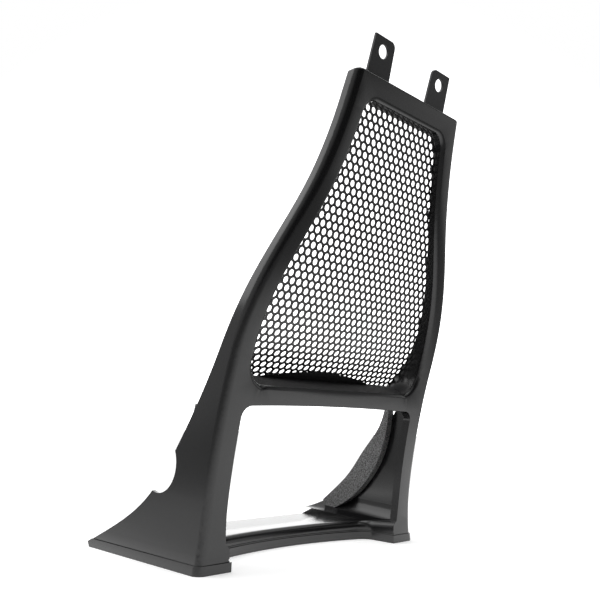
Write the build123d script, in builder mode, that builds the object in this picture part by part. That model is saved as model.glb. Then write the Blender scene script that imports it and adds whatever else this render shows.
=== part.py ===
from build123d import *
from math import atan, cos, degrees, radians, sin
import os

# Radiator guard for a motorcycle: one moulded fairing shell with a perforated screen, two steel
# tabs and foam strips. All lengths are millimetres. X runs across the guard, Y to the rear and Z up.
# The origin lies on the symmetry plane, on the floor, in the middle of the front lip's underside.

os.makedirs("parts", exist_ok=True)

# Moulded shell
wall = 3.0
body_height = 374.0
corner_radius = 6.0
top_edge_radius = 2.0
top_return_depth = 8.0
hem_height = 7.0
hem_proud = 1.2

# How far working outlines run past the part before they are cut to it, and how far an added wall
# runs into the one that carries it
reach = 400.0
overrun = 10.0
wall_lap = 0.2

# Steps in which a height is found on a curve
halvings = 40

# How far a face must lean towards the front, and one of the pan towards the top, to count as such
front_facing = -0.7
top_facing = 0.9

# Side view, measured as (distance behind the foot of the legs, height)
front_profile = [(0, 0), (-8.5, 82), (-31.5, 168), (-57.5, 239), (-76.5, 300), (-97, body_height)]
front_top_lean = 0.277
rear_profile = [(-85, body_height), (-59.6, 283.6), (-32.8, 209.6), (-5.3, 152), (24.9, 105), (66.5, 54.5)]
wing_profile = [(66.5, 54.5), (110, 25.5), (156, 4)]
wing_slope = (1, -0.95)
tail_slope = (1, -0.47)
tip_chamfer = 4.0

# Front view, measured as (half width, height)
leg_half_width = 122.0
foot_flare = 3.5
flare_height = 50.0
waist_start = 160.0
hourglass = [(leg_half_width, waist_start), (117, 202.5), (97.7, 256.5), (83.5, 294), (74.1, 332),
             (68, body_height)]
shoulder_slope = -0.13

# Window for the screen
stile_width = 19.5
window_top = 356.0
window_bottom = 135.0
window_top_radius = 13.0
window_bottom_radius = 20.0
window_edge_radius = 4.0
ledge_slope = 0.32

# Lower air opening
opening_half_width = 103.0
opening_foot_half_width = 98.5
opening_top = 119.5
opening_arch = 2.0
opening_corner_radius = 9.0
rim_depth = 8.0

# Rear edge relief in the left wing, measured as in the side view
relief_centre = (60.3, 75.2)
relief_radius = 23.0

# Floor pan between the wings
lip_bow = 50.0
lip_side_setback = 33.0
lip_half_width = 97.0
lip_corner_radius = 13.0
pan_front_height = 16.0
pan_rear_height = 9.5
pan_rear_setback = 148.0
nose_radius = 6.0
groove_height = 8.0
groove_width = 1.0
groove_depth = 0.8
cove_radius = 18.0
cove_setback = 0.5
cove_bite = 2.25

# Screen, measured as in the side view, and its screws
screen_profile = [(-84.3, 366), (-62.4, 282.5), (-36.5, 214.2), (-14.1, 171.5), (10.5, 144.7), (21, 135.5)]
screen_thickness = 1.2
screen_margin = 8.0
seat_thickness = 3.0
hole_pitch = 18.0
hole_web = 3.6
sill_rise = 6.0
sill_half_width = 65.0
screen_screw_inset = 4.5
lower_screw_spacing = 90.0
lower_screw_drop = 4.5
hole_margin = 1.0
hole_corners = 6

# Steel tabs
tab_thickness = 2.0
tab_spacing = 76.4
tab_foot_width = 28.0
tab_top_width = 24.0
tab_length = 34.5
tab_overlap = 9.5
tab_hole_radius = 5.5
tab_hole_height = 23.8
tab_corner = 5.0
tab_screw_spacing = 16.0
tab_screw_drop = 5.0
pad_margin = 1.0
pad_length = 15.0

# Foam strips inside the wings, measured as in the side view
foam_thickness = 6.0
foam_outer = [(21.5, 121), (30.3, 101.6), (48.5, 80.1), (68.4, 56), (81.6, 44.4), (102.6, 28.3)]
foam_inner = [(18.5, 121), (21, 103.6), (30.3, 75.8), (48.3, 50.5), (65.7, 35.2), (101.1, 19.1)]
foam_relief_margin = 4.0

# Screws and washers
screw_radius = 1.5
screw_clearance = 0.3
washer_gap = 0.05
screw_length = 8.0
head_radius = 3.4
head_height = 2.2
washer_radius = 4.2
washer_thickness = 0.8
boss_radius = 4.0
boss_height = 3.5
socket_width = 2.5
socket_depth = 1.2
head_rounding = 1.2

leg_front = -(lip_bow + wall / 2)
top_front = leg_front + front_profile[-1][0]
top_angle = degrees(atan(front_top_lean))
inner_half_width = leg_half_width - wall


def setback(points, shift=0.0):
    """Turns side-view pairs into sketch points, moved to the rear by shift."""
    return [(leg_front + y + shift, z) for y, z in points]


def front_line(shift, extra=0.0):
    """Draws the front profile, run on past the floor and the top edge by extra."""
    points = setback(front_profile, shift)
    Spline(*points, tangents=[(0, 1), (-front_top_lean, 1)])
    if extra:
        Line((points[0][0], -extra), points[0])
        Line(points[-1], (points[-1][0] - front_top_lean * extra, points[-1][1] + extra))


def rear_line():
    """Draws the rear edge from the top down to the wing's tip."""
    Spline(*setback(rear_profile), tangents=[(front_top_lean, -1), wing_slope])
    Spline(*setback(wing_profile), tangents=[wing_slope, tail_slope])


def half_outline(inset, extra=0.0):
    """Draws the right half of the front view, pulled in by inset and run on past both ends by extra."""
    waist = [(x - inset, z) for x, z in hourglass]
    knee = (leg_half_width - inset, flare_height)
    foot = (knee[0] + foot_flare, 0)
    crown = (waist[-1][0] + shoulder_slope * extra, waist[-1][1] + extra)
    TangentArc(knee, foot, tangent=(0, -1))
    Line(knee, waist[0])
    Spline(*waist, tangents=[(0, 1), (shoulder_slope, 1)])
    if extra:
        Line((foot[0], -extra), foot)
        Line(waist[-1], crown)
    Line(crown, (0, crown[1]))
    Line((0, -extra), (foot[0], -extra))


def shell_side(grow=0.0):
    """Draws the side view of the whole shell, with its front face moved forwards by grow."""
    front = setback(front_profile, -grow)
    tip = (leg_front + wing_profile[-1][0] - tip_chamfer, 0)
    front_line(-grow)
    rear_line()
    Line(front[-1], setback(rear_profile)[0])
    Polyline(setback(wing_profile)[-1], tip, front[0])


def hollow_side(depth):
    """Draws the side view of everything more than depth behind the front face."""
    high = body_height + overrun
    crest = (top_front + depth - front_top_lean * overrun, high)
    front_line(depth, overrun)
    Polyline((leg_front + depth, -overrun), (reach, -overrun), (reach, high), crest)


def front_band_side(start, stop):
    """Draws the side view of the layer between two depths behind the front face."""
    front_line(start)
    front_line(stop)
    Line((leg_front + start, 0), (leg_front + stop, 0))
    Line((top_front + start, body_height), (top_front + stop, body_height))


def screen_space_side():
    """Draws the side view of the space between the front wall and the screen."""
    front = setback(front_profile, wall - wall_lap)
    screen = setback(screen_profile)
    Spline(*front, tangents=[(0, 1), (-front_top_lean, 1)])
    Spline(*screen)
    Line(front[-1], screen[0])
    Line(front[0], screen[-1])


def ledge_side(drop):
    """Draws the side view of everything under the window's sloping ledge, lowered by drop."""
    foot = setback(screen_profile)[-2]
    front_height = foot[1] - drop - ledge_slope * (foot[0] + reach)
    rear_height = foot[1] - drop - ledge_slope * (foot[0] - reach)
    Polyline((-reach, front_height), (reach, rear_height), (reach, -reach), (-reach, -reach), close=True)


def pan_side(drop, extra):
    """Draws the side view of everything under the pan's sloping top, lowered by drop."""
    slope = (pan_front_height - pan_rear_height) / (pan_rear_setback - lip_bow)
    rear = pan_rear_setback + extra
    rear_height = pan_rear_height - drop - slope * extra
    front_height = pan_front_height - drop + slope * (lip_bow + overrun)
    corners = [(-overrun, -overrun), (-overrun, front_height), (rear, rear_height), (rear, -overrun)]
    Polyline(*setback(corners), close=True)


def side_slab(draw, *sizes):
    """Side-view outline run across the whole width of the guard."""
    with BuildPart() as slab:
        with BuildSketch(Plane.YZ.offset(-reach)):
            with BuildLine():
                draw(*sizes)
            make_face()
        extrude(amount=2 * reach)
    return slab.part


def front_prism(outline):
    """Front-view outline run through the whole depth of the guard."""
    with BuildPart() as prism:
        with BuildSketch(Plane.XZ.offset(-reach)):
            add(outline)
        extrude(amount=2 * reach)
    return prism.part


def plan_prism(outline, low, high):
    """Plan outline run up between two heights."""
    with BuildPart() as prism:
        with BuildSketch(Plane.XY.offset(low)):
            add(outline)
        extrude(amount=high - low)
    return prism.part


def silhouette(inset, extra=0.0):
    """Front view of the whole guard, pulled in by inset."""
    with BuildSketch() as outline:
        with BuildLine():
            half_outline(inset, extra)
            mirror(about=Plane.YZ)
        make_face()
    return outline.sketch


def window_outline(grow):
    """Window in front view, grown outwards all round."""
    with BuildSketch() as outline:
        with BuildLine():
            half_outline(stile_width - grow)
            mirror(about=Plane.YZ)
        make_face()
        with Locations((0, (window_top + window_bottom) / 2)):
            Rectangle(2 * reach, window_top - window_bottom + 2 * grow, mode=Mode.INTERSECT)
        fillet(outline.vertices().group_by(Axis.Y)[-1], window_top_radius + grow)
        fillet(outline.vertices().group_by(Axis.Y)[0], window_bottom_radius + grow)
    return outline.sketch


def opening_outline(grow):
    """Lower air opening in front view, grown outwards and run on past the floor."""
    side = opening_half_width + grow
    foot = opening_foot_half_width + grow
    top = opening_top + grow
    with BuildSketch() as outline:
        with BuildLine():
            TangentArc((side, flare_height), (foot, 0), tangent=(0, -1))
            Line((side, flare_height), (side, top))
            ThreePointArc((side, top), (0, top + opening_arch), (-side, top))
            Line((-side, top), (-side, flare_height))
            TangentArc((-side, flare_height), (-foot, 0), tangent=(0, -1))
            Polyline((-foot, 0), (-foot, -overrun), (foot, -overrun), (foot, 0))
        make_face()
        corners = outline.vertices().group_by(Axis.Y)[-1]
        fillet(corners, opening_corner_radius + grow)
    return outline.sketch


def notch_outline(grow):
    """Plan view of the gap between the legs in front of the lip, grown outwards."""
    side = lip_half_width + grow
    shoulder = leg_front + lip_side_setback + grow
    front = leg_front - overrun
    with BuildSketch() as notch:
        with BuildLine():
            ThreePointArc((-side, shoulder), (0, leg_front + lip_bow + grow), (side, shoulder))
            Polyline((side, shoulder), (side, front), (-side, front), (-side, shoulder))
        make_face()
        corners = [corner for corner in notch.vertices() if corner.Y > front + overrun]
        fillet(corners, lip_corner_radius + grow)
    return notch.sketch


def front_corners(faces):
    """Edges that run up both sides of the forward-looking faces."""
    forward = faces.filter_by(lambda face: face.normal_at().Y < front_facing)
    return forward.edges().filter_by(Axis.X, reverse=True)


def outer_block(grow=0.0):
    """Shell filled solid, grown sideways and forwards, with its front corners rounded."""
    with BuildPart() as block:
        add(side_slab(shell_side, grow))
        add(front_prism(silhouette(-grow)), mode=Mode.INTERSECT)
        fillet(front_corners(block.faces()), corner_radius + grow)
    return block.part


def hollow_block(depth, low, high):
    """Space inside the walls, from depth behind the front face, between two heights."""
    with BuildPart() as hollow:
        add(side_slab(hollow_side, depth))
        add(front_prism(silhouette(wall, overrun)), mode=Mode.INTERSECT)
        fillet(front_corners(hollow.faces()), corner_radius - wall)
        with BuildSketch(Plane.XY.offset(low)):
            Rectangle(2 * reach, 2 * reach)
        extrude(amount=high - low, mode=Mode.INTERSECT)
    return hollow.part


def floor_slab(height):
    """Everything between the floor and the height."""
    with BuildPart() as slab:
        with BuildSketch(Plane.XY):
            Rectangle(2 * reach, 2 * reach)
        extrude(amount=height)
    return slab.part


def height_share(curve, height):
    """Share of the curve's length at which it reaches the height."""
    low = 0.0
    high = 1.0
    rises = curve.position_at(1).Y > curve.position_at(0).Y
    for _ in range(halvings):
        middle = (low + high) / 2
        if (curve.position_at(middle).Y < height) == rises:
            low = middle
        else:
            high = middle
    return low


def window_half_width(height):
    """Half width of the window at the height."""
    if height < waist_start:
        return leg_half_width - stile_width
    return waist_curve.position_at(height_share(waist_curve, height)).X - stile_width


def screen_line(depth):
    """Points of the screen's curve, moved to the rear by depth, square to the curve."""
    spots = []
    for _, height in screen_profile:
        share = height_share(screen_curve, height)
        run = screen_curve.tangent_at(share)
        spots.append(screen_curve.position_at(share) + Vector(-run.Y, run.X) * depth)
    return spots


def screen_band(depth):
    """Sheet from the screen's front face to depth behind it, or in front of it where negative."""
    near = setback(screen_profile)
    far = screen_line(depth)
    with BuildPart() as band:
        with BuildSketch(Plane.YZ.offset(-reach)):
            with BuildLine():
                Spline(*near)
                Spline(*far)
                Line(near[0], far[0])
                Line(near[-1], far[-1])
            make_face()
        extrude(amount=2 * reach)
    return band.part


def screen_plane(x, height, lift=0.0):
    """Plane on the front face of the screen at a place seen from the front, lifted to the rear."""
    share = height_share(screen_curve, height)
    spot = screen_curve.position_at(share)
    run = screen_curve.tangent_at(share)
    face = Plane(origin=(x, spot.X, spot.Y), x_dir=(1, 0, 0), z_dir=(0, -run.Y, run.X))
    return face.offset(lift)


def tab_plane(x, lift=0.0):
    """Plane on the front face of a tab at the shell's top edge, looking to the rear and lifted."""
    lean = radians(top_angle)
    origin = (x, top_front + top_return_depth, body_height)
    face = Plane(origin=origin, x_dir=(-1, 0, 0), z_dir=(0, cos(lean), sin(lean)))
    return face.offset(lift)


def tab_screw_plane(x, lift=0.0):
    """Plane square to a tab screw, lifted to the rear of the tab's front face."""
    face = tab_plane(x, lift)
    face.origin = face.from_local_coords((0, -tab_screw_drop, 0))
    return face


screen_curve = Spline(*setback(screen_profile))
waist_curve = Spline(*hourglass, tangents=[(0, 1), (shoulder_slope, 1)])
window_prism = front_prism(window_outline(0))
opening_prism = front_prism(opening_outline(0))

# Shell filled solid, with its top edge rounded
with BuildPart() as filled:
    add(outer_block())
    crown = filled.faces().sort_by(Axis.Z)[-1]
    fillet(crown.edges().sort_by(Axis.Y)[:-1], top_edge_radius)
solid_shell = filled.part

# Where the screws go, as places seen from the front
tab_sides = [-tab_spacing / 2, tab_spacing / 2]
tab_screw_places = [x + step * tab_screw_spacing / 2 for x in tab_sides for step in (-1, 1)]
screen_screw_places = []
for _, height in hourglass[1:-1]:
    x = window_half_width(height) + screen_screw_inset
    screen_screw_places += [(-x, height), (x, height)]
foot_height = screen_profile[-2][1] - lower_screw_drop
screen_screw_places += [(-lower_screw_spacing / 2, foot_height), (lower_screw_spacing / 2, foot_height)]

# Planes under the screws' washers, in front of them for the bosses, and under their heads
tab_seats = [tab_screw_plane(x, tab_thickness) for x in tab_screw_places]
screen_seats = [screen_plane(x, height, screen_thickness + washer_gap) for x, height in screen_screw_places]
screw_seats = [seat.offset(washer_thickness) for seat in tab_seats + screen_seats]

# Tunnel from the window's front edge to the screen
with BuildPart() as window_void:
    add(window_prism)
    add(side_slab(ledge_side, 0), mode=Mode.SUBTRACT)

with BuildPart() as tunnel:
    add(side_slab(screen_space_side))
    add(front_prism(window_outline(wall)), mode=Mode.INTERSECT)
    add(side_slab(ledge_side, wall), mode=Mode.SUBTRACT)

# Flange that the screen is screwed to, with a low arched sill
with BuildPart() as seat:
    add(screen_band(-seat_thickness))
    add(front_prism(window_outline(screen_margin)), mode=Mode.INTERSECT)
    add(window_void.part, mode=Mode.SUBTRACT)

with BuildSketch() as sill_outline:
    sill_foot = screen_profile[-2][1]
    with BuildLine():
        sill_low = sill_foot - wall
        sill_top = sill_foot + sill_rise
        ThreePointArc((-sill_half_width, sill_foot), (0, sill_top), (sill_half_width, sill_foot))
        Polyline((sill_half_width, sill_foot), (sill_half_width, sill_low), (-sill_half_width, sill_low))
        Line((-sill_half_width, sill_low), (-sill_half_width, sill_foot))
    make_face()

with BuildPart() as sill:
    add(screen_band(-seat_thickness))
    add(front_prism(sill_outline.sketch), mode=Mode.INTERSECT)

# Inner return round the lower opening
with BuildPart() as rim:
    add(side_slab(front_band_side, wall - wall_lap, rim_depth))
    add(front_prism(opening_outline(wall)), mode=Mode.INTERSECT)
    add(opening_prism, mode=Mode.SUBTRACT)

# Floor pan with its rolled front lip, hollow underneath
with BuildPart() as pan_hollow:
    add(hollow_block(wall, -overrun, body_height / 2))
    add(side_slab(pan_side, wall, overrun), mode=Mode.INTERSECT)
    add(plan_prism(notch_outline(wall), -overrun, body_height), mode=Mode.SUBTRACT)

with BuildPart() as pan:
    add(side_slab(pan_side, 0, 0))
    add(solid_shell, mode=Mode.INTERSECT)
    add(plan_prism(notch_outline(0), -overrun, body_height), mode=Mode.SUBTRACT)
    pan_top = pan.faces().filter_by(lambda face: face.normal_at().Z > top_facing)
    lip_edges = pan_top.edges().filter_by_position(Axis.X, -lip_half_width - 1, lip_half_width + 1)
    fillet(lip_edges.filter_by_position(Axis.Y, leg_front, lip_bow), nose_radius)
    add(pan_hollow.part, mode=Mode.SUBTRACT)

# Return along the top edge
with BuildPart() as top_return:
    add(side_slab(front_band_side, wall - wall_lap, top_return_depth))
    add(front_prism(silhouette(wall - wall_lap)), mode=Mode.INTERSECT)
    add(floor_slab(body_height - wall), mode=Mode.SUBTRACT)

# Hem round the foot of the shell and the lip
with BuildPart() as hem:
    add(outer_block(hem_proud))
    add(floor_slab(hem_height), mode=Mode.INTERSECT)

with BuildPart() as lip_hem:
    add(plan_prism(notch_outline(wall - wall_lap), 0, hem_height))
    add(plan_prism(notch_outline(-hem_proud), 0, hem_height), mode=Mode.SUBTRACT)
    add(hem.part, mode=Mode.INTERSECT)

with BuildPart() as lip_groove:
    add(plan_prism(notch_outline(groove_depth), groove_height, groove_height + groove_width))

# Coves where the pan meets the wings
with BuildPart() as coves:
    slope = degrees(atan((pan_front_height - pan_rear_height) / (pan_rear_setback - lip_bow)))
    cove_plane = Plane(origin=(0, leg_front + lip_bow, pan_front_height), x_dir=(1, 0, 0), z_dir=(0, -1, 0))
    with BuildSketch(cove_plane.rotated((slope, 0, 0))):
        with BuildLine():
            edge = inner_half_width + cove_setback
            bite = edge + cove_bite
            Polyline((edge - cove_radius, -wall_lap), (edge - cove_radius, 0))
            RadiusArc((edge - cove_radius, 0), (edge, cove_radius), -cove_radius)
            Polyline((edge, cove_radius), (bite, cove_radius), (bite, -wall_lap))
            Line((bite, -wall_lap), (edge - cove_radius, -wall_lap))
        make_face()
    extrude(amount=reach, both=True)
    mirror(about=Plane.YZ)
    add(solid_shell, mode=Mode.INTERSECT)

# Pads that carry the tabs, and bosses round the screen's screws
with BuildPart() as pads:
    for x in tab_sides:
        with BuildSketch(tab_plane(x)):
            with Locations((0, -pad_length / 2)):
                Rectangle(tab_foot_width + 2 * pad_margin, pad_length)
        extrude(amount=-(top_return_depth - wall) * cos(radians(top_angle)) - wall_lap)

with BuildPart() as bosses:
    for x, height in screen_screw_places:
        with BuildSketch(screen_plane(x, height)):
            Circle(boss_radius)
        extrude(amount=-(seat_thickness + boss_height))

with BuildPart() as screw_bores:
    for plane in screw_seats:
        with BuildSketch(plane):
            Circle(screw_radius)
        extrude(amount=-screw_length)

with BuildPart() as clearance_bores:
    for plane in screw_seats:
        with BuildSketch(plane):
            Circle(screw_radius + screw_clearance)
        extrude(amount=-screw_length)

with BuildPart() as relief:
    with BuildSketch(Plane.YZ):
        with Locations(setback([relief_centre])[0]):
            Circle(relief_radius)
    extrude(amount=-reach)

with BuildPart() as fairing_shell:
    add(solid_shell)
    add(hem.part)
    add(hollow_block(wall, -overrun, body_height + overrun), mode=Mode.SUBTRACT)
    for piece in (top_return, tunnel, seat, rim, pads, bosses):
        add(piece.part)
    add(window_void.part, mode=Mode.SUBTRACT)
    add(opening_prism, mode=Mode.SUBTRACT)
    forward = fairing_shell.faces().filter_by(lambda face: face.normal_at().Y < front_facing)
    fillet(forward.sort_by(SortBy.AREA)[-1].inner_wires()[0].edges(), window_edge_radius)
    for piece in (pan, coves, lip_hem, sill):
        add(piece.part)
    for void in (lip_groove, relief, screw_bores):
        add(void.part, mode=Mode.SUBTRACT)

# Perforated screen, with its rows of holes square to its curve
half_corner = 180 / hole_corners
row_pitch = hole_pitch * cos(radians(half_corner))
hole_radius = (hole_pitch - hole_web) / 2 / cos(radians(half_corner))
highest = window_top - hole_radius - hole_margin
lowest = screen_profile[-2][1] + sill_rise + hole_radius + hole_margin

with BuildPart() as holes:
    share = height_share(screen_curve, highest)
    shift = 0.0
    while screen_curve.position_at(share).Y > lowest:
        height = screen_curve.position_at(share).Y
        half_width = window_half_width(height) - hole_radius - hole_margin
        count = int(half_width / hole_pitch) + 1
        row = [step * hole_pitch + shift for step in range(-count, count + 1)]
        with BuildSketch(screen_plane(0, height, -overrun)):
            with Locations(*[(x, 0) for x in row if abs(x) < half_width]):
                RegularPolygon(hole_radius, hole_corners, rotation=half_corner)
        extrude(amount=2 * overrun)
        share += row_pitch / screen_curve.length
        shift = hole_pitch / 2 - shift

with BuildPart() as mesh_screen:
    add(screen_band(screen_thickness))
    add(front_prism(window_outline(screen_margin)), mode=Mode.INTERSECT)
    add(holes.part, mode=Mode.SUBTRACT)
    add(clearance_bores.part, mode=Mode.SUBTRACT)

# Steel tabs
with BuildPart() as mounting_tab_right:
    with BuildSketch(tab_plane(tab_sides[1])):
        half_foot = tab_foot_width / 2
        half_top = tab_top_width / 2
        with BuildLine():
            Polyline((-half_foot, -tab_overlap), (-half_top, tab_length), (half_top, tab_length),
                     (half_foot, -tab_overlap), close=True)
        make_face()
        fillet(vertices().group_by(Axis.Y)[-1].sort_by(Axis.X)[-1], tab_corner)
        with Locations((0, tab_hole_height)):
            Circle(tab_hole_radius, mode=Mode.SUBTRACT)
    extrude(amount=tab_thickness)
    add(clearance_bores.part, mode=Mode.SUBTRACT)

with BuildPart() as mounting_tab_left:
    add(mounting_tab_right.part)
    mirror(about=Plane.YZ, mode=Mode.REPLACE)

# Button-head screws and their washers
with BuildPart() as screw:
    Cylinder(head_radius, head_height, align=(Align.CENTER, Align.CENTER, Align.MIN))
    fillet(screw.edges().sort_by(Axis.Z)[-1], head_rounding)
    with BuildSketch(Plane.XY.offset(head_height)):
        RegularPolygon(socket_width / 2, 6)
    extrude(amount=-socket_depth, mode=Mode.SUBTRACT)
    Cylinder(screw_radius, screw_length, align=(Align.CENTER, Align.CENTER, Align.MAX))

with BuildPart() as washer:
    with BuildSketch():
        Circle(washer_radius)
        Circle(screw_radius, mode=Mode.SUBTRACT)
    extrude(amount=washer_thickness)

with BuildPart() as tab_screws:
    with Locations(*[seat.offset(washer_thickness) for seat in tab_seats]):
        add(screw.part)

with BuildPart() as tab_washers:
    with Locations(*tab_seats):
        add(washer.part)

with BuildPart() as screen_screws:
    with Locations(*[seat.offset(washer_thickness) for seat in screen_seats]):
        add(screw.part)

with BuildPart() as screen_washers:
    with Locations(*screen_seats):
        add(washer.part)

# Foam strips along the rear edges of the wings
with BuildPart() as right_foam:
    with BuildSketch(Plane.YZ.offset(inner_half_width)):
        with BuildLine():
            outer = Spline(*setback(foam_outer))
            inner = Spline(*setback(foam_inner))
            Line(outer @ 0, inner @ 0)
            Line(outer @ 1, inner @ 1)
        make_face()
    extrude(amount=-foam_thickness)
    add(coves.part, mode=Mode.SUBTRACT)

with BuildPart() as foam_strip_right:
    add(right_foam.part.solids().sort_by(SortBy.VOLUME)[-1])

with BuildPart() as left_foam:
    add(foam_strip_right.part)
    mirror(about=Plane.YZ, mode=Mode.REPLACE)
    with BuildSketch(Plane.YZ):
        with Locations(setback([relief_centre])[0]):
            Circle(relief_radius + foam_relief_margin)
    extrude(amount=-reach, mode=Mode.SUBTRACT)

with BuildPart() as foam_strip_left_upper:
    add(left_foam.part.solids().sort_by(Axis.Z)[-1])

with BuildPart() as foam_strip_left_lower:
    add(left_foam.part.solids().sort_by(Axis.Z)[0])

pieces = {
    "fairing_shell": fairing_shell,
    "mesh_screen": mesh_screen,
    "mounting_tab_left": mounting_tab_left,
    "mounting_tab_right": mounting_tab_right,
    "tab_screws": tab_screws,
    "tab_washers": tab_washers,
    "screen_screws": screen_screws,
    "screen_washers": screen_washers,
    "foam_strip_right": foam_strip_right,
    "foam_strip_left_upper": foam_strip_left_upper,
    "foam_strip_left_lower": foam_strip_left_lower,
}
for name, piece in pieces.items():
    piece.part.label = name
    export_step(piece.part, f"parts/{name}.step")
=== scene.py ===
"""Studio scene of a motorcycle radiator guard: moulded shell, perforated screen, steel tabs and foam."""

import logging
import math
from dataclasses import dataclass
from enum import Enum

import bmesh
import bpy
import numpy as np
from mathutils import Matrix, Vector


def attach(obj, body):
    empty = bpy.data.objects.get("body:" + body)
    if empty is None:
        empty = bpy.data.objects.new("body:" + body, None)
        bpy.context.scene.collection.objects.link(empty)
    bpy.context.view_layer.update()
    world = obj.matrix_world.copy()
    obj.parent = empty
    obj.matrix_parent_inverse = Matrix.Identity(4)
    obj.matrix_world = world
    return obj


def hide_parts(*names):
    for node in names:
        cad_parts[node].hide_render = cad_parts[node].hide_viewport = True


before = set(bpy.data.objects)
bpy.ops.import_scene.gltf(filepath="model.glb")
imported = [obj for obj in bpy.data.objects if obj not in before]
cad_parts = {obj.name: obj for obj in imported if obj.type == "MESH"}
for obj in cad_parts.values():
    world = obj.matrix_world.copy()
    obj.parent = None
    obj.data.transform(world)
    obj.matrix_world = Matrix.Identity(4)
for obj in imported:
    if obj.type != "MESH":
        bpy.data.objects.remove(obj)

log = logging.getLogger("radiator_guard")

MM = 0.001
BODY = "root"

# Corners of a solid's triangles that are closer than this are one corner
SAME_CORNER = 0.001 * MM

# Turn of the noise on every piece, so that no flat face lies along its cells
GRAIN_TURN = (0.5, 0.7, 0.3)
PATCH_DETAIL = 3.0
NOISE_MEAN = 0.5
SPECKLE_FROM = 0.4
SPECKLE_TO = 0.6

# Share of a dull part's reach up to which it is fully dull, and at which it ends
DULL_FULL = 0.85
DULL_END = 1.1

# Angle that one side of a hexagonal cell takes up
CELL_SIDE = math.pi / 3


class Grain(Enum):
    """Kinds of fine surface structure, with the detail and roughness of their noise."""

    MOULDED = (2.0, 0.5)
    COATED = (4.0, 0.6)
    CELLS = (8.0, 0.75)


@dataclass(frozen=True)
class DullPart:
    """A part of a piece that the tool left less glossy than the rest.

    Attributes:
        place: Its middle, in metres.
        reach: Its half sizes, in metres.
        gain: How much rougher it is.
    """

    place: tuple[float, float, float]
    reach: tuple[float, float, float]
    gain: float


@dataclass(frozen=True)
class Finish:
    """A surface finish, built as one node material.

    Attributes:
        name: Material name.
        slot: The record's material slot, not used.
        colour: Linear base colour.
        roughness: Mean roughness.
        metallic: Metallic share.
        grain: Kind of the fine structure.
        grain_scale: Scale of the fine structure, per metre.
        grain_depth: Height of the fine structure, in metres.
        speckle: How far the fine structure lightens and darkens the colour.
        patch_scale: Scale of the slow changes of gloss, per metre.
        patch_span: How far those changes move the roughness.
        edge_radius: Radius that the edges catch the light with, in metres.
        dull: The part that is less glossy, or None.
    """

    name: str
    slot: str
    colour: tuple[float, float, float]
    roughness: float
    metallic: float = 0.0
    grain: Grain = Grain.MOULDED
    grain_scale: float = 1200.0
    grain_depth: float = 0.00001
    speckle: float = 0.0
    patch_scale: float = 14.0
    patch_span: float = 0.08
    edge_radius: float = 0.0004
    dull: DullPart | None = None

    def shade(self, level: float) -> tuple[float, float, float, float]:
        """The colour made darker or lighter.

        Args:
            level: What the colour is multiplied by.

        Returns:
            The opaque colour.
        """
        red, green, blue = (part * level for part in self.colour)
        return (red, green, blue, 1.0)

    def material(self) -> bpy.types.Material:
        """Builds the node material, or finds it if it is there.

        Returns:
            The finished material.
        """
        made = bpy.data.materials.get(self.name)
        if made is not None:
            return made
        made = bpy.data.materials.new(self.name)
        made.use_nodes = True
        tree = made.node_tree
        shader = tree.nodes["Principled BSDF"]
        shader.inputs["Base Color"].default_value = self.shade(1.0)
        shader.inputs["Metallic"].default_value = self.metallic
        structure = tree.nodes.new("ShaderNodeGroup")
        structure.node_tree = surface_structure(self.grain)
        structure.inputs["Roughness"].default_value = self.roughness
        structure.inputs["Grain Scale"].default_value = self.grain_scale
        structure.inputs["Patch Scale"].default_value = self.patch_scale
        structure.inputs["Patch Span"].default_value = self.patch_span
        rough = structure.outputs["Roughness"]
        if self.dull is not None:
            mask = tree.nodes.new("ShaderNodeGroup")
            mask.node_tree = dull_part()
            mask.inputs["Place"].default_value = self.dull.place
            mask.inputs["Reach"].default_value = self.dull.reach
            rough = add_math(tree, "MULTIPLY_ADD", mask.outputs["Mask"], self.dull.gain, rough)
        tree.links.new(rough, shader.inputs["Roughness"])
        edge = tree.nodes.new("ShaderNodeBevel")
        edge.inputs["Radius"].default_value = self.edge_radius
        bump = tree.nodes.new("ShaderNodeBump")
        bump.inputs["Distance"].default_value = self.grain_depth
        tree.links.new(structure.outputs["Height"], bump.inputs["Height"])
        tree.links.new(edge.outputs["Normal"], bump.inputs["Normal"])
        tree.links.new(bump.outputs["Normal"], shader.inputs["Normal"])
        if self.speckle:
            tone = tree.nodes.new("ShaderNodeMix")
            tone.data_type = "RGBA"
            tone.inputs["A"].default_value = self.shade(1 - self.speckle)
            tone.inputs["B"].default_value = self.shade(1 + self.speckle)
            tree.links.new(structure.outputs["Speckle"], tone.inputs["Factor"])
            tree.links.new(tone.outputs["Result"], shader.inputs["Base Color"])
        return made


def add_math(
    tree: bpy.types.NodeTree, operation: str, *values: bpy.types.NodeSocket | float
) -> bpy.types.NodeSocket:
    """Adds one step of arithmetic on numbers.

    Args:
        tree: The node tree that gets it.
        operation: The step, by Blender's name.
        values: What it works on, each a socket or a plain number.

    Returns:
        Its result.
    """
    step = tree.nodes.new("ShaderNodeMath")
    step.operation = operation
    for entry, value in zip(step.inputs, values):
        if isinstance(value, bpy.types.NodeSocket):
            tree.links.new(value, entry)
        else:
            entry.default_value = value
    return step.outputs["Value"]


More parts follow.
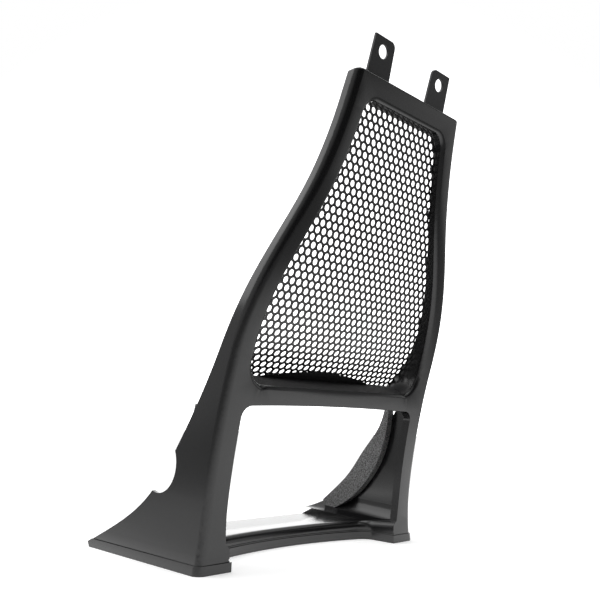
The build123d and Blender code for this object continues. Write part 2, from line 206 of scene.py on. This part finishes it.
def add_fade(
    tree: bpy.types.NodeTree,
    source: bpy.types.NodeSocket,
    start: float,
    end: float,
    first: float,
    last: float,
) -> bpy.types.NodeSocket:
    """Adds a soft change from one value to another.

    Args:
        tree: The node tree that gets it.
        source: The value that it follows.
        start: The source's value where the change starts.
        end: The source's value where it ends.
        first: Value before the change.
        last: Value after it.

    Returns:
        The changing value.
    """
    faded = tree.nodes.new("ShaderNodeMapRange")
    faded.interpolation_type = "SMOOTHSTEP"
    faded.inputs["From Min"].default_value = start
    faded.inputs["From Max"].default_value = end
    faded.inputs["To Min"].default_value = first
    faded.inputs["To Max"].default_value = last
    tree.links.new(source, faded.inputs["Value"])
    return faded.outputs["Result"]


def dull_part() -> bpy.types.NodeTree:
    """Node group of a soft-edged mask round a part of a piece that is less glossy.

    Returns:
        The node group, with the output Mask.
    """
    made = bpy.data.node_groups.get("dull_part")
    if made is not None:
        return made
    made = bpy.data.node_groups.new("dull_part", "ShaderNodeTree")
    for socket in ("Place", "Reach"):
        made.interface.new_socket(socket, in_out="INPUT", socket_type="NodeSocketVector")
    made.interface.new_socket("Mask", in_out="OUTPUT", socket_type="NodeSocketFloat")
    given = made.nodes.new("NodeGroupInput")
    result = made.nodes.new("NodeGroupOutput")
    place = made.nodes.new("ShaderNodeTexCoord")
    offset = made.nodes.new("ShaderNodeVectorMath")
    offset.operation = "SUBTRACT"
    made.links.new(place.outputs["Object"], offset.inputs[0])
    made.links.new(given.outputs["Place"], offset.inputs[1])
    share = made.nodes.new("ShaderNodeVectorMath")
    share.operation = "DIVIDE"
    made.links.new(offset.outputs["Vector"], share.inputs[0])
    made.links.new(given.outputs["Reach"], share.inputs[1])
    reach = made.nodes.new("ShaderNodeVectorMath")
    reach.operation = "LENGTH"
    made.links.new(share.outputs["Vector"], reach.inputs[0])
    mask = add_fade(made, reach.outputs["Value"], DULL_FULL, DULL_END, 1.0, 0.0)
    made.links.new(mask, result.inputs["Mask"])
    return made


def surface_structure(grain: Grain) -> bpy.types.NodeTree:
    """Node group of a surface's fine grain and of the slow changes of its gloss.

    Args:
        grain: Kind of the fine structure.

    Returns:
        The node group, with the outputs Roughness, Height and Speckle.
    """
    name = "surface_structure_" + grain.name.lower()
    made = bpy.data.node_groups.get(name)
    if made is not None:
        return made
    detail, gain = grain.value
    made = bpy.data.node_groups.new(name, "ShaderNodeTree")
    for socket in ("Roughness", "Grain Scale", "Patch Scale", "Patch Span"):
        made.interface.new_socket(socket, in_out="INPUT", socket_type="NodeSocketFloat")
    for socket in ("Roughness", "Height", "Speckle"):
        made.interface.new_socket(socket, in_out="OUTPUT", socket_type="NodeSocketFloat")
    given = made.nodes.new("NodeGroupInput")
    result = made.nodes.new("NodeGroupOutput")
    place = made.nodes.new("ShaderNodeTexCoord")
    turned = made.nodes.new("ShaderNodeMapping")
    turned.inputs["Rotation"].default_value = GRAIN_TURN
    made.links.new(place.outputs["Object"], turned.inputs["Vector"])
    fine = made.nodes.new("ShaderNodeTexNoise")
    fine.inputs["Detail"].default_value = detail
    fine.inputs["Roughness"].default_value = gain
    slow = made.nodes.new("ShaderNodeTexNoise")
    slow.inputs["Detail"].default_value = PATCH_DETAIL
    for noise, scale in ((fine, "Grain Scale"), (slow, "Patch Scale")):
        made.links.new(turned.outputs["Vector"], noise.inputs["Vector"])
        made.links.new(given.outputs[scale], noise.inputs["Scale"])
    centred = add_math(made, "SUBTRACT", slow.outputs["Fac"], NOISE_MEAN)
    rough = add_math(made, "MULTIPLY_ADD", centred, given.outputs["Patch Span"], given.outputs["Roughness"])
    sharp = made.nodes.new("ShaderNodeMapRange")
    sharp.inputs["From Min"].default_value = SPECKLE_FROM
    sharp.inputs["From Max"].default_value = SPECKLE_TO
    made.links.new(fine.outputs["Fac"], sharp.inputs["Value"])
    made.links.new(rough, result.inputs["Roughness"])
    made.links.new(fine.outputs["Fac"], result.inputs["Height"])
    made.links.new(sharp.outputs["Result"], result.inputs["Speckle"])
    return made


LEDGE_DULL = DullPart(place=(0.0, -0.057, 0.141), reach=(0.11, 0.026, 0.013), gain=0.6)
SHELL_BLACK = Finish(
    name="shell_black",
    slot="shell_plastic",
    colour=(0.009, 0.009, 0.0095),
    roughness=0.2,
    grain_depth=0.000005,
    patch_span=0.02,
    dull=LEDGE_DULL,
)
SCREEN_BLACK = Finish(
    name="screen_black",
    slot="screen_metal",
    colour=(0.02, 0.02, 0.021),
    roughness=0.42,
    metallic=0.2,
    grain=Grain.COATED,
    patch_scale=40.0,
)
TAB_BLACK = Finish(
    name="tab_black",
    slot="tab_metal",
    colour=(0.028, 0.028, 0.029),
    roughness=0.4,
    metallic=0.3,
    grain=Grain.COATED,
    patch_scale=60.0,
)
SCREW_BLACK = Finish(
    name="screw_black",
    slot="fastener_steel",
    colour=(0.09, 0.09, 0.095),
    roughness=0.34,
    metallic=0.9,
    grain=Grain.COATED,
    patch_scale=90.0,
)
FOAM_GREY = Finish(
    name="foam_grey",
    slot="foam",
    colour=(0.17, 0.17, 0.17),
    roughness=0.95,
    grain=Grain.CELLS,
    grain_scale=900.0,
    grain_depth=0.0006,
    speckle=0.8,
    patch_scale=60.0,
    patch_span=0.05,
)


def finish_piece(name: str, mesh: bpy.types.Mesh, finish: Finish, node: str) -> bpy.types.Object:
    """Links a mesh as a finished piece that stands for a solid.

    Args:
        name: The piece's name.
        mesh: Its mesh, in the guard's own place.
        finish: The finish it gets.
        node: The node of the solid it stands for.

    Returns:
        The linked object.
    """
    mesh.materials.clear()
    mesh.materials.append(finish.material())
    piece = bpy.data.objects.new(name, mesh)
    bpy.context.scene.collection.objects.link(piece)
    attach(piece, BODY)
    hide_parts(node)
    log.info("%s: %d faces", name, len(mesh.polygons))
    return piece


def smoothed_copy(name: str, node: str, finish: Finish, crease: float) -> bpy.types.Object:
    """Makes a smooth-shaded copy of a solid's surface.

    Args:
        name: The copy's name.
        node: The solid's node.
        finish: The finish it gets.
        crease: Angle above which an edge stays sharp, in degrees.

    Returns:
        The copy, standing for the node.
    """
    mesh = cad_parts[node].data.copy()
    mesh.name = name
    work = bmesh.new()
    work.from_mesh(mesh)
    bmesh.ops.remove_doubles(work, verts=work.verts, dist=SAME_CORNER)
    work.to_mesh(mesh)
    work.free()
    if "custom_normal" in mesh.attributes:
        mesh.attributes.remove(mesh.attributes["custom_normal"])
    mesh.shade_smooth()
    mesh.set_sharp_from_angle(angle=math.radians(crease))
    return finish_piece(name, mesh, finish, node)


class SmoothLine:
    """A cubic curve through points in a plane, sampled along its length.

    Attributes:
        places: Sampled points, in order.
        lengths: The curve's length up to each of them.
    """

    def __init__(
        self,
        points: tuple[tuple[float, float], ...],
        start: tuple[float, float] | None = None,
        end: tuple[float, float] | None = None,
        samples: int = 400,
    ) -> None:
        """Fits the curve.

        Args:
            points: The points it runs through.
            start: Direction at the first point, or None for a free end.
            end: Direction at the last point, or None for a free end.
            samples: How many points are taken on it.
        """
        knots = np.array(points, dtype=float)
        spans = np.hypot(*np.diff(knots, axis=0).T)
        share = np.concatenate([[0.0], np.cumsum(spans)])
        slopes = self.slopes(knots, spans, start, end)
        asked = np.linspace(0.0, share[-1], samples)
        index = np.clip(np.searchsorted(share, asked) - 1, 0, len(spans) - 1)
        run = spans[index][:, None]
        step = ((asked - share[index]) / spans[index])[:, None]
        rest = 1.0 - step
        self.places = (
            (1 + 2 * step) * rest**2 * knots[index]
            + step * rest**2 * run * slopes[index]
            + step**2 * (3 - 2 * step) * knots[index + 1]
            - step**2 * rest * run * slopes[index + 1]
        )
        self.lengths = np.concatenate([[0.0], np.cumsum(np.hypot(*np.diff(self.places, axis=0).T))])

    @staticmethod
    def slopes(
        knots: np.ndarray,
        spans: np.ndarray,
        start: tuple[float, float] | None,
        end: tuple[float, float] | None,
    ) -> np.ndarray:
        """Solves for the directions that leave no jump in the curve's bend.

        Args:
            knots: The points it runs through.
            spans: Distances between them.
            start: Direction at the first point, or None.
            end: Direction at the last point, or None.

        Returns:
            A direction for each point.
        """
        count = len(knots)
        rises = np.diff(knots, axis=0) / spans[:, None]
        system = np.eye(count)
        wanted = np.zeros((count, 2))
        for i in range(1, count - 1):
            before = spans[i - 1]
            after = spans[i]
            system[i, i - 1 : i + 2] = (after, 2 * (before + after), before)
            wanted[i] = 3 * (after * rises[i - 1] + before * rises[i])
        for row, other, given, rise in ((0, 1, start, rises[0]), (count - 1, count - 2, end, rises[-1])):
            if given is None:
                system[row, other] = 1.0
                wanted[row] = 2 * rise
            else:
                wanted[row] = np.array(given) / math.hypot(*given)
        return np.linalg.solve(system, wanted)


@dataclass
class MouldedShell:
    """The one-piece plastic shell: frame, wings, floor pan and hems.

    Attributes:
        node: The solid's node.
        finish: The finish it gets.
        crease: Angle above which an edge stays sharp, in degrees.
    """

    node: str = "fairing_shell"
    finish: Finish = SHELL_BLACK
    crease: float = 28.0

    def build(self) -> None:
        """Joins up the solid's surface and shades it as one moulding."""
        smoothed_copy("moulded_shell", self.node, self.finish, self.crease)


@dataclass
class PerforatedScreen:
    """The curved sheet with staggered rows of round holes.

    Attributes:
        profile: Points of its front face in side view, as place towards the rear and height, in mm.
        waist: Points of the shell's outline in front view, as half width and height, in mm.
        waist_foot: Direction of that outline at the bottom.
        waist_lean: Direction of that outline at the top.
        margin: How far the sheet stays inside the outline, in mm.
        crown: Height of its top edge, in mm.
        crown_radius: Radius of its top corners, in mm.
        sole: Height that its bottom corners are rounded to, in mm.
        sole_radius: Radius of its bottom corners, in mm.
        pitch: Distance between holes in a row, in mm.
        row_pitch: Distance between rows along the sheet, in mm.
        hole: Width of a hole across its flatter sides, in mm.
        hole_corner: Width of a hole across its soft corners, in mm.
        first_hole: Place of one hole, as distance across and length down the sheet, in mm.
        edge_web: Least width of metal between a hole and the sheet's edge, in mm.
        thickness: Sheet thickness, in mm.
        segments: Corners of each hole.
        spare_columns: Columns of cells beyond the sheet's widest place, on either side.
        spare_rows: Rows of cells beyond its upper and its lower end.
        cell_merge: Distance below which the corners of two cells are one, in mm.
        edge_merge: Distance below which two corners at the trimmed edge are one, in mm.
        finish: The finish it gets.
    """

    profile: tuple[tuple[float, float], ...] = (
        (-135.8, 366.0), (-113.9, 282.5), (-88.0, 214.2), (-65.6, 171.5), (-41.0, 144.7), (-30.5, 135.5),
    )
    waist: tuple[tuple[float, float], ...] = (
        (122.0, 160.0), (117.0, 202.5), (97.7, 256.5), (83.5, 294.0), (74.1, 332.0), (68.0, 374.0),
    )
    waist_foot: tuple[float, float] = (0.0, 1.0)
    waist_lean: tuple[float, float] = (-0.13, 1.0)
    margin: float = 11.5
    crown: float = 364.0
    crown_radius: float = 21.0
    sole: float = 127.0
    sole_radius: float = 28.0
    pitch: float = 6.968
    row_pitch: float = 6.108
    hole: float = 5.4
    hole_corner: float = 5.65
    first_hole: tuple[float, float] = (-33.17, 134.37)
    edge_web: float = 0.6
    thickness: float = 1.2
    segments: int = 12
    spare_columns: int = 2
    spare_rows: int = 1
    cell_merge: float = 0.01
    edge_merge: float = 0.02
    finish: Finish = SCREEN_BLACK

    def __post_init__(self) -> None:
        """Fits the sheet's curve in side view and the shell's outline in front view."""
        self.side = SmoothLine(self.profile)
        self.outline = SmoothLine(self.waist, start=self.waist_foot, end=self.waist_lean)

    def build(self) -> None:
        """Punches the flat sheet, trims it to its outline, bends it and gives it its thickness."""
        work = bmesh.new()
        self.add_cells(work)
        self.trim(work)
        self.bend(work)
        bmesh.ops.recalc_face_normals(work, faces=work.faces)
        largest = max(work.faces, key=lambda face: face.calc_area())
        if largest.normal.y > 0:
            bmesh.ops.reverse_faces(work, faces=work.faces)
        mesh = bpy.data.meshes.new("perforated_screen")
        work.to_mesh(mesh)
        work.free()
        piece = finish_piece("perforated_screen", mesh, self.finish, "mesh_screen")
        wall = piece.modifiers.new("sheet", "SOLIDIFY")
        wall.thickness = self.thickness * MM
        wall.offset = -1.0

    def add_cells(self, work: bmesh.types.BMesh) -> None:
        """Repeats one cell in staggered rows over the flat sheet, with first_hole at its measured place.

        Args:
            work: The mesh being made, across in X and down the sheet in Y, in mm.
        """
        across, down = self.first_hole
        columns = math.ceil((self.waist[0][0] - across) / self.pitch) + self.spare_columns
        above = math.ceil(down / self.row_pitch) + self.spare_rows
        below = math.ceil((self.side.lengths[-1] - down) / self.row_pitch) + self.spare_rows
        stagger = self.pitch / 2
        self.add_cell(work)
        first_across = across - columns * self.pitch - above % 2 * stagger
        start = Vector((first_across, down - above * self.row_pitch, 0.0))
        bmesh.ops.translate(work, verts=work.verts, vec=start)
        self.repeat(work, [Vector((step * self.pitch, 0.0, 0.0)) for step in range(1, 2 * columns + 1)])
        rows = range(1, above + below + 1)
        self.repeat(work, [Vector((step % 2 * stagger, step * self.row_pitch, 0.0)) for step in rows])
        bmesh.ops.remove_doubles(work, verts=work.verts, dist=self.cell_merge)

    def add_cell(self, work: bmesh.types.BMesh) -> None:
        """Makes one hexagonal cell with the face of its hole.

        Args:
            work: The empty mesh.
        """
        circle = bmesh.ops.create_circle(work, cap_ends=True, segments=self.segments, radius=self.pitch / 2)
        cell = circle["verts"]
        stretch = self.row_pitch / (self.pitch * math.cos(CELL_SIDE / 2))
        for corner in cell:
            corner.co = corner.co.normalized() * self.pitch / 2 / math.cos(self.off_flat(corner.co))
            corner.co.y *= stretch
        bmesh.ops.inset_individual(work, faces=list(work.faces), thickness=(self.pitch - self.hole) / 2)
        for corner in work.verts:
            if corner not in cell:
                share = self.off_flat(corner.co) / (CELL_SIDE / 2)
                width = self.hole + (self.hole_corner - self.hole) * share
                corner.co = corner.co.normalized() * width / 2

    @staticmethod
    def repeat(work: bmesh.types.BMesh, offsets: list[Vector]) -> None:
        """Copies all that a mesh holds to each of some offsets.

        Args:
            work: The mesh being made.
            offsets: Where the copies go, from where it is.
        """
        whole = list(work.verts) + list(work.edges) + list(work.faces)
        for offset in offsets:
            copy = bmesh.ops.duplicate(work, geom=whole)["geom"]
            moved = [item for item in copy if isinstance(item, bmesh.types.BMVert)]
            bmesh.ops.translate(work, verts=moved, vec=offset)

    @staticmethod
    def off_flat(place: Vector) -> float:
        """Angle between a place round a cell's centre and the middle of the cell's nearest side.

        Args:
            place: The place, with the centre at the origin.

        Returns:
            The angle, from 0 to a twelfth of a turn.
        """
        return abs((math.atan2(place.y, place.x) + CELL_SIDE / 2) % CELL_SIDE - CELL_SIDE / 2)

    def height_at(self, down: float) -> float:
        """Height of the bent sheet.

        Args:
            down: Length down the sheet from its curve's upper end, in mm.

        Returns:
            The height, in mm.
        """
        return float(np.interp(down, self.side.lengths, self.side.places[:, 1]))

    def half_width(self, down: float) -> float:
        """Half width of the sheet, with its rounded corners.

        Args:
            down: Length down the sheet from its curve's upper end, in mm.

        Returns:
            The half width, in mm.
        """
        height = self.height_at(down)
        width = float(np.interp(height, self.outline.places[:, 1], self.outline.places[:, 0])) - self.margin
        for edge, radius, sign in ((self.crown, self.crown_radius, 1), (self.sole, self.sole_radius, -1)):
            rise = min(max(sign * (height - edge) + radius, 0.0), radius)
            width += math.sqrt(radius**2 - rise**2) - radius
        return width

    def trim(self, work: bmesh.types.BMesh) -> None:
        """Opens the holes that lie inside the sheet's edge and cuts the sheet to its outline.

        Args:
            work: The mesh being made.
        """
        top = float(np.interp(-self.crown, -self.side.places[:, 1], self.side.lengths))
        bottom = float(self.side.lengths[-1])
        hole_room = self.hole / 2 + self.edge_web
        # Blank holes and webs past the edge by less than these are pulled in to it
        blank_reach = self.pitch
        web_reach = self.pitch / 3
        opened = []
        outside = []
        for face in work.faces:
            middle = face.calc_center_median()
            inside = min(self.half_width(middle.y) - abs(middle.x), middle.y - top, bottom - middle.y)
            if len(face.verts) == self.segments:
                if inside > hole_room:
                    opened.append(face)
                elif inside < -blank_reach:
                    outside.append(face)
            elif inside < -web_reach:
                outside.append(face)
        bmesh.ops.delete(work, geom=opened + outside, context="FACES")
        for corner in work.verts:
            corner.co.y = min(max(corner.co.y, top), bottom)
            width = self.half_width(corner.co.y)
            corner.co.x = min(max(corner.co.x, -width), width)
        bmesh.ops.dissolve_degenerate(work, dist=self.edge_merge, edges=work.edges)
        bmesh.ops.remove_doubles(work, verts=work.verts, dist=self.edge_merge)

    def bend(self, work: bmesh.types.BMesh) -> None:
        """Bends the flat sheet along its curve in side view and brings it to metres.

        Args:
            work: The mesh being made.
        """
        for corner in work.verts:
            back = float(np.interp(corner.co.y, self.side.lengths, self.side.places[:, 0]))
            corner.co = Vector((corner.co.x, back, self.height_at(corner.co.y))) * MM


@dataclass
class SteelParts:
    """Steel parts that keep their solids' forms.

    Attributes:
        nodes: The solids' nodes.
        finish: The finish they get.
        crease: Angle above which an edge stays sharp, in degrees.
    """

    nodes: tuple[str, ...]
    finish: Finish
    crease: float

    def build(self) -> None:
        """Makes the parts, one piece for each node."""
        for node in self.nodes:
            smoothed_copy(node + "_steel", node, self.finish, self.crease)


@dataclass
class SteelTabs(SteelParts):
    """The two drilled steel tabs on the top edge."""

    nodes: tuple[str, ...] = ("mounting_tab_left", "mounting_tab_right")
    finish: Finish = TAB_BLACK
    crease: float = 28.0


@dataclass
class Fasteners(SteelParts):
    """Button-head screws and washers that hold the screen and the tabs."""

    nodes: tuple[str, ...] = ("tab_screws", "tab_washers", "screen_screws", "screen_washers")
    finish: Finish = SCREW_BLACK
    crease: float = 40.0


@dataclass
class FoamStrips:
    """The foam strips along the rear edges of the wings.

    Attributes:
        nodes: The solids' nodes.
        finish: The finish they get.
        crease: Angle above which an edge stays sharp, in degrees.
        swells: How far each strip bulges past its cut size, or is squeezed below it, in metres.
    """

    nodes: tuple[str, ...] = ("foam_strip_right", "foam_strip_left_upper", "foam_strip_left_lower")
    finish: Finish = FOAM_GREY
    crease: float = 40.0
    swells: tuple[float, ...] = (1.6 * MM, -0.6 * MM, 0.2 * MM)

    def build(self) -> None:
        """Makes every strip."""
        for node, swell in zip(self.nodes, self.swells):
            piece = smoothed_copy(node + "_foam", node, self.finish, self.crease)
            work = bmesh.new()
            work.from_mesh(piece.data)
            bulges = [corner.normal * swell for corner in work.verts]
            for corner, bulge in zip(work.verts, bulges):
                corner.co += bulge
            work.to_mesh(piece.data)
            work.free()


@dataclass(frozen=True)
class Card:
    """A bright card in the dark room, far from the guard.

    Attributes:
        direction: Direction from the guard to its middle.
        edge: Cosine of the angle from its middle at which it starts to be bright.
        full: Cosine of the angle from its middle within which it is fully bright.
        level: Its brightness there.
    """

    direction: tuple[float, float, float]
    edge: float
    full: float
    level: float


@dataclass(frozen=True)
class SoftLamp:
    """A square soft lamp.

    Attributes:
        name: Its name.
        place: Where it hangs, in metres.
        aim: The point it is turned to, in metres.
        size: Length of its sides, in metres.
        power: Its power, in watts.
    """

    name: str
    place: tuple[float, float, float]
    aim: tuple[float, float, float]
    size: float
    power: float


@dataclass
class Studio:
    """The floor, the surroundings, the lamps and the camera.

    Attributes:
        camera_place: Where the camera stands, in metres.
        camera_heading: Turn of the view from the guard's rear direction to its right, in degrees.
        camera_rise: Angle of the view above the horizon, in degrees.
        camera_roll: Turn of the camera about its view, in degrees.
        lens: Focal length, in mm.
        sensor: Width of the sensor, in mm.
        floor_size: Length of the floor's sides, in metres.
        floor_roughness: Roughness of the floor.
        floor_patch: Middle of the bright part of the floor, in metres.
        floor_near: Distance from there up to which the floor is bright, in metres.
        floor_far: Distance from there at which it is dark, in metres.
        floor_pool_grey: Grey of the floor near and far, a painted pool of light round the bright part.
        floor_seen: Glow that the camera sees besides, near and far.
        floor_mirrored: Glow that glossy surfaces mirror besides, near and far.
        room_level: Level of the dark room all round.
        cards: Bright cards in the room.
        lamps: Soft lamps over the guard.
    """

    camera_place: tuple[float, float, float] = (-0.43706, -0.46367, 0.11109)
    camera_heading: float = 44.603
    camera_rise: float = 9.701
    camera_roll: float = 1.253
    lens: float = 41.71
    sensor: float = 36.0
    floor_size: float = 8.0
    floor_roughness: float = 0.9
    floor_patch: tuple[float, float, float] = (0.12, 0.02, 0.0)
    floor_near: float = 0.25
    floor_far: float = 0.75
    # Painted pool of light: the floor's grey falls from near the patch to far from it
    floor_pool_grey: tuple[float, float] = (0.9, 0.2)
    floor_seen: tuple[float, float] = (0.35, 0.9)
    floor_mirrored: tuple[float, float] = (0.9, 0.12)
    room_level: float = 0.04
    cards: tuple[Card, ...] = (
        Card(direction=(0.0, 0.0, 1.0), edge=0.4, full=0.85, level=1.0),
        Card(direction=(0.70, 0.71, 0.0), edge=0.7, full=0.97, level=2.3),
        Card(direction=(-0.95, 0.3, 0.0), edge=0.3, full=0.95, level=0.7),
        Card(direction=(0.9, -0.44, 0.0), edge=0.85, full=0.97, level=0.8),
    )
    lamps: tuple[SoftLamp, ...] = (
        SoftLamp("key", place=(-0.9, 0.9, 1.3), aim=(0.0, 0.0, 0.15), size=1.2, power=8.0),
        SoftLamp("top", place=(0.2, -0.2, 1.6), aim=(0.0, 0.0, 0.1), size=1.2, power=8.0),
    )

    def build(self) -> None:
        """Makes the floor, the surroundings, the lamps and the camera."""
        self.add_floor()
        self.add_surroundings()
        for lamp in self.lamps:
            self.add_lamp(lamp)
        self.add_camera()
        bpy.context.scene.view_settings.view_transform = "Standard"

    def add_floor(self) -> None:
        """Lays a plain pale floor that keeps the guard's shadow."""
        work = bmesh.new()
        bmesh.ops.create_grid(work, x_segments=1, y_segments=1, size=self.floor_size / 2)
        mesh = bpy.data.meshes.new("floor")
        work.to_mesh(mesh)
        work.free()
        mesh.materials.append(self.floor_material())
        floor = bpy.data.objects.new("floor", mesh)
        bpy.context.scene.collection.objects.link(floor)

    def floor_material(self) -> bpy.types.Material:
        """Builds the floor's material, white to the camera and, as a painted pool of light, dark to the
        guard except near it.

        Returns:
            The material.
        """
        paint = bpy.data.materials.new("floor_white")
        paint.use_nodes = True
        tree = paint.node_tree
        shader = tree.nodes["Principled BSDF"]
        shader.inputs["Roughness"].default_value = self.floor_roughness
        shader.inputs["Specular IOR Level"].default_value = 0.0
        shader.inputs["Emission Color"].default_value = (1.0, 1.0, 1.0, 1.0)
        place = tree.nodes.new("ShaderNodeTexCoord")
        reach = tree.nodes.new("ShaderNodeVectorMath")
        reach.operation = "DISTANCE"
        reach.inputs[1].default_value = self.floor_patch
        tree.links.new(place.outputs["Object"], reach.inputs[0])
        # Painted pool of light: the floor's grey and its mirrored glow fall off away from the patch, while
        # the glow that the camera sees rises to keep the floor white
        grey, seen, mirrored = (
            add_fade(tree, reach.outputs["Value"], self.floor_near, self.floor_far, near, far)
            for near, far in (self.floor_pool_grey, self.floor_seen, self.floor_mirrored)
        )
        path = tree.nodes.new("ShaderNodeLightPath")
        glow = add_math(tree, "MULTIPLY", path.outputs["Is Camera Ray"], seen)
        glow = add_math(tree, "MULTIPLY_ADD", path.outputs["Is Glossy Ray"], mirrored, glow)
        tree.links.new(grey, shader.inputs["Base Color"])
        tree.links.new(glow, shader.inputs["Emission Strength"])
        return paint

    def add_surroundings(self) -> None:
        """Surrounds the guard with a dark room that holds the bright cards and looks white to the camera."""
        world = bpy.data.worlds.new("studio")
        bpy.context.scene.world = world
        world.use_nodes = True
        tree = world.node_tree
        backdrop = tree.nodes["Background"]
        backdrop.inputs["Color"].default_value = (1.0, 1.0, 1.0, 1.0)
        direction = tree.nodes.new("ShaderNodeTexCoord")
        path = tree.nodes.new("ShaderNodeLightPath")
        level = add_math(tree, "MAXIMUM", path.outputs["Is Camera Ray"], self.room_level)
        for card in self.cards:
            facing = tree.nodes.new("ShaderNodeVectorMath")
            facing.operation = "DOT_PRODUCT"
            facing.inputs[1].default_value = Vector(card.direction).normalized()
            tree.links.new(direction.outputs["Generated"], facing.inputs[0])
            lit = add_fade(tree, facing.outputs["Value"], card.edge, card.full, 0.0, card.level)
            level = add_math(tree, "MAXIMUM", level, lit)
        tree.links.new(level, backdrop.inputs["Strength"])

    def add_lamp(self, lamp: SoftLamp) -> None:
        """Hangs one soft lamp.

        Args:
            lamp: The lamp.
        """
        light = bpy.data.lights.new(lamp.name, "AREA")
        light.shape = "SQUARE"
        light.size = lamp.size
        light.energy = lamp.power
        held = bpy.data.objects.new(lamp.name, light)
        held.location = lamp.place
        held.rotation_euler = (Vector(lamp.aim) - Vector(lamp.place)).to_track_quat("-Z", "Y").to_euler()
        bpy.context.scene.collection.objects.link(held)

    def add_camera(self) -> None:
        """Sets the camera where the photograph was taken from."""
        camera = bpy.data.cameras.new("camera")
        camera.sensor_width = self.sensor
        camera.lens = self.lens
        held = bpy.data.objects.new("camera", camera)
        turn = (
            Matrix.Rotation(math.radians(-self.camera_heading), 4, "Z")
            @ Matrix.Rotation(math.radians(90.0 + self.camera_rise), 4, "X")
            @ Matrix.Rotation(math.radians(self.camera_roll), 4, "Z")
        )
        held.matrix_world = Matrix.Translation(self.camera_place) @ turn
        bpy.context.scene.collection.objects.link(held)
        bpy.context.scene.camera = held


def main() -> None:
    """Builds the guard's pieces and the studio in order."""
    logging.basicConfig(level=logging.INFO)
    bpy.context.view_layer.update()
    for assembly in (MouldedShell(), PerforatedScreen(), SteelTabs(), Fasteners(), FoamStrips(), Studio()):
        assembly.build()
        log.info("%s is built", type(assembly).__name__)


if __name__ == "__main__":
    main()
